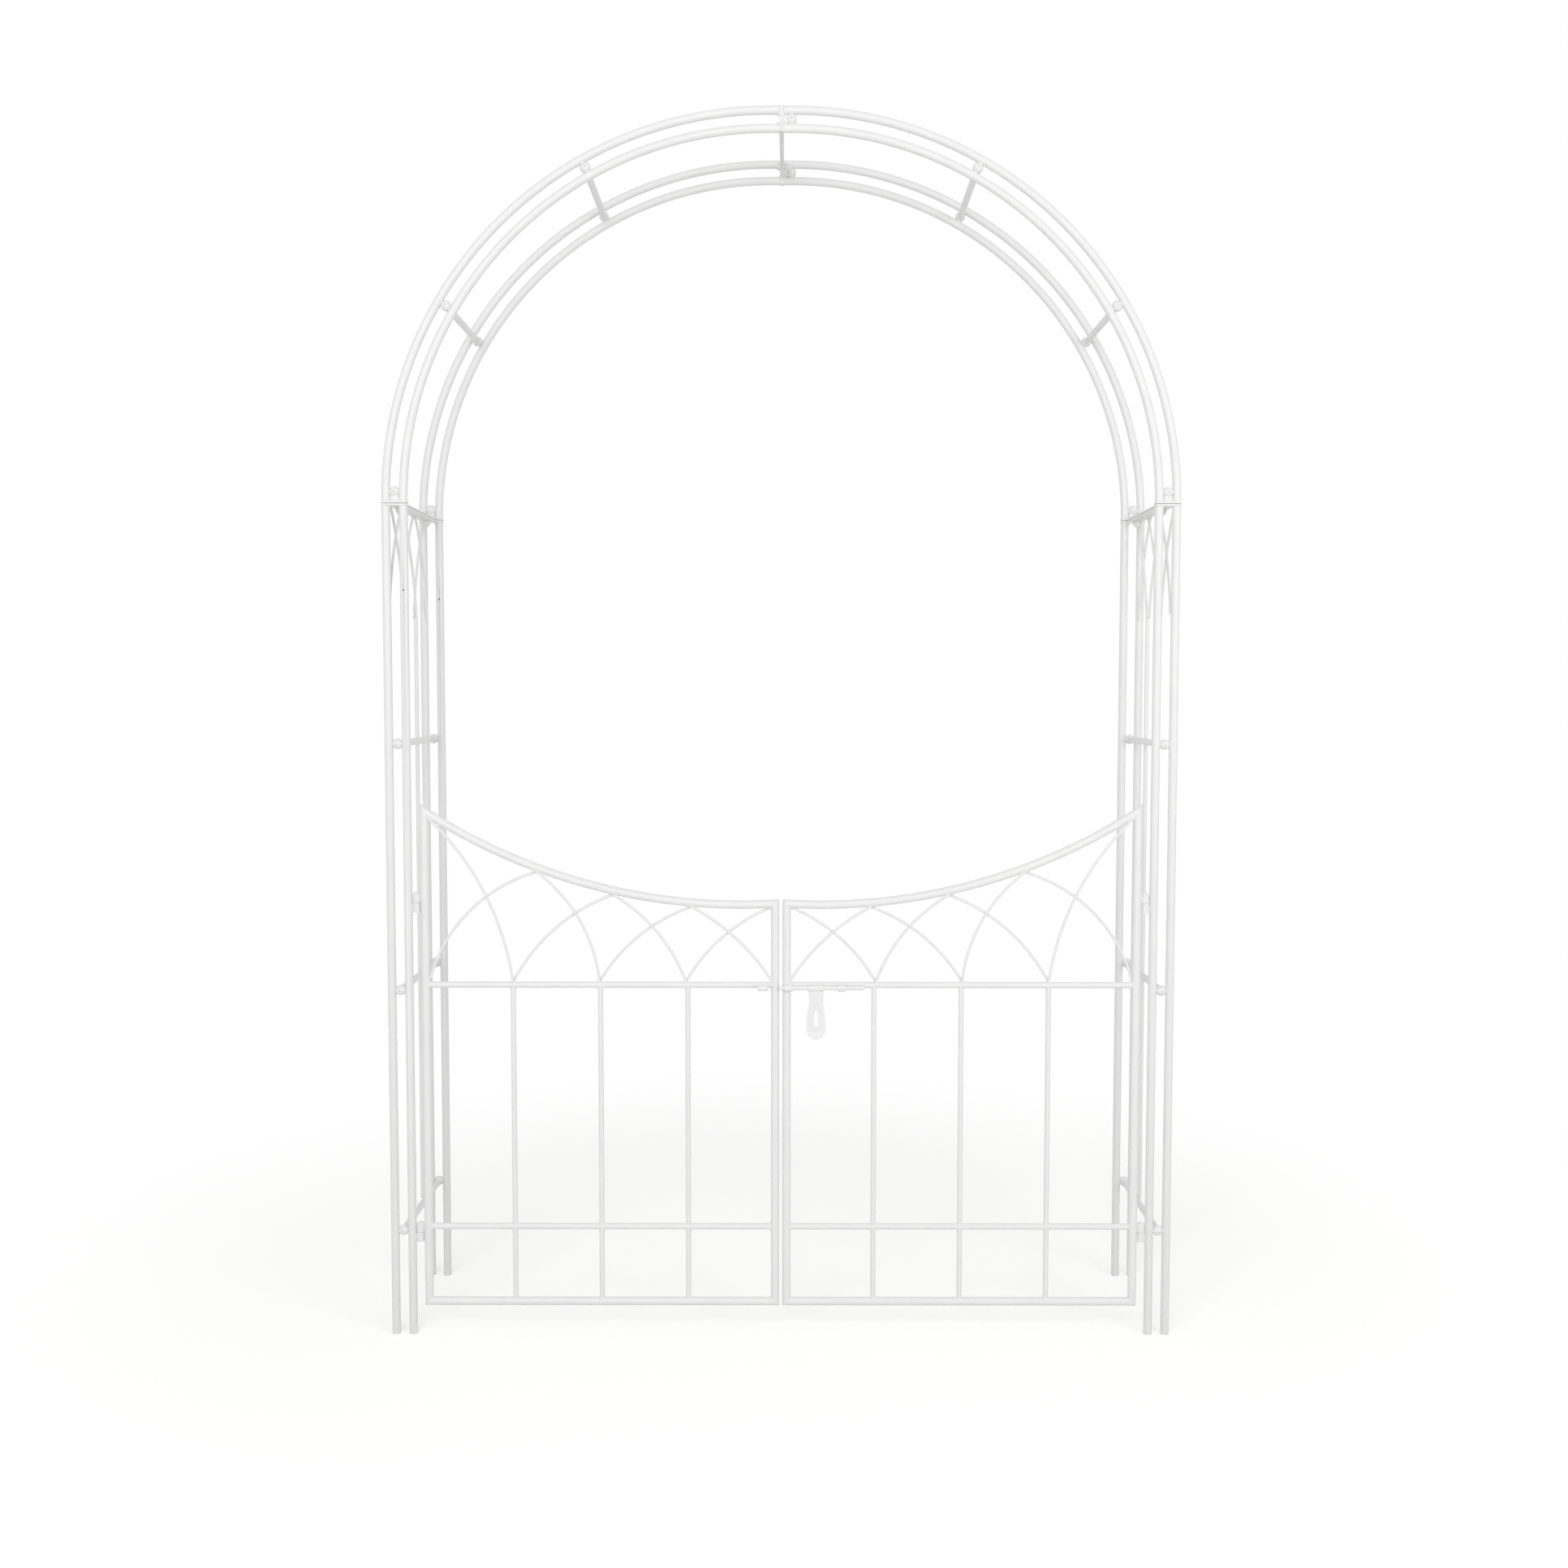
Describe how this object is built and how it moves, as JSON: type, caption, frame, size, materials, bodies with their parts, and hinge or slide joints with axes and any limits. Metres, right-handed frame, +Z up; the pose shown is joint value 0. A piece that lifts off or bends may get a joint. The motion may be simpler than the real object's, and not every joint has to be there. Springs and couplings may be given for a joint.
{
  "type": "garden arch with gate",
  "caption": "Garden arch of bent twin tubes on open legs with crossed pointed-arch ironwork, and low gate leaves on lift-off hinges closed by a sliding bolt with a hasp.",
  "frame": {"origin": "on the ground, at the middle of the object's width and depth", "axes": "+Z up, X across the opening, the gate and the latch are at the -Y side, the latch is at the +X leaf"},
  "size_m": [1.5, 0.346, 2.32],
  "materials": {
    "frame_coat": "white powder coat, satin",
    "gate_coat": "white powder coat, satin",
    "hardware_coat": "white powder coat, satin"
  },
  "bodies": {
    "frame": {"front_left_outer_post": "frame_coat", "front_left_outer_arch": "frame_coat", "front_left_inner_post": "frame_coat", "front_left_inner_arch": "frame_coat", "rear_left_outer_post": "frame_coat", "rear_left_outer_arch": "frame_coat", "rear_left_inner_post": "frame_coat", "rear_left_inner_arch": "frame_coat", "left_leg_rungs": "frame_coat", "left_leg_balls": "frame_coat", "left_uprights": "frame_coat", "left_side_lattice": "frame_coat", "left_head_plate": "frame_coat", "left_springing_plate": "frame_coat", "left_crown_plate": "frame_coat", "left_pintles": "hardware_coat", "front_right_outer_post": "frame_coat", "front_right_outer_arch": "frame_coat", "front_right_inner_post": "frame_coat", "front_right_inner_arch": "frame_coat", "rear_right_outer_post": "frame_coat", "rear_right_outer_arch": "frame_coat", "rear_right_inner_post": "frame_coat", "rear_right_inner_arch": "frame_coat", "right_leg_rungs": "frame_coat", "right_leg_balls": "frame_coat", "right_uprights": "frame_coat", "right_side_lattice": "frame_coat", "right_head_plate": "frame_coat", "right_springing_plate": "frame_coat", "right_crown_plate": "frame_coat", "right_pintles": "hardware_coat", "arch_rungs": "frame_coat", "arch_balls": "frame_coat", "joint_bolts": "hardware_coat", "dome_nuts": "hardware_coat"},
    "left_leaf": {"left_hinge_stile": "gate_coat", "left_meeting_stile": "gate_coat", "left_top_rail": "gate_coat", "left_mid_rail": "gate_coat", "left_lower_rail": "gate_coat", "left_bottom_rail": "gate_coat", "left_bars": "gate_coat", "left_gate_lattice": "gate_coat", "left_knuckles": "hardware_coat", "keeper": "hardware_coat", "keeper_foot": "hardware_coat"},
    "right_leaf": {"right_hinge_stile": "gate_coat", "right_meeting_stile": "gate_coat", "right_top_rail": "gate_coat", "right_mid_rail": "gate_coat", "right_lower_rail": "gate_coat", "right_bottom_rail": "gate_coat", "right_bars": "gate_coat", "right_gate_lattice": "gate_coat", "right_knuckles": "hardware_coat", "bolt_guides": "hardware_coat"},
    "bolt": {"bolt_rod": "hardware_coat"},
    "hasp": {"hasp": "hardware_coat"}
  },
  "joints": [
    {"name": "left_leaf_swing", "type": "hinge", "parent": "frame", "child": "left_leaf", "pos_m": [-0.69325, -0.15096, 0.5], "axis": [0, 0, 1], "range_deg": [-105, 85]},
    {"name": "right_leaf_swing", "type": "hinge", "parent": "frame", "child": "right_leaf", "pos_m": [0.69325, -0.15096, 0.5], "axis": [0, 0, 1], "range_deg": [-85, 105]},
    {"name": "bolt_slide", "type": "slide", "parent": "right_leaf", "child": "bolt", "axis": [-1, 0, 0], "range_m": [-0.0245, 0.028]},
    {"name": "hasp_turn", "type": "hinge", "parent": "bolt", "child": "hasp", "pos_m": [0.067, -0.16346, 0.6755], "axis": [-1, 0, 0], "range_deg": [-40, 170]}
  ]
}
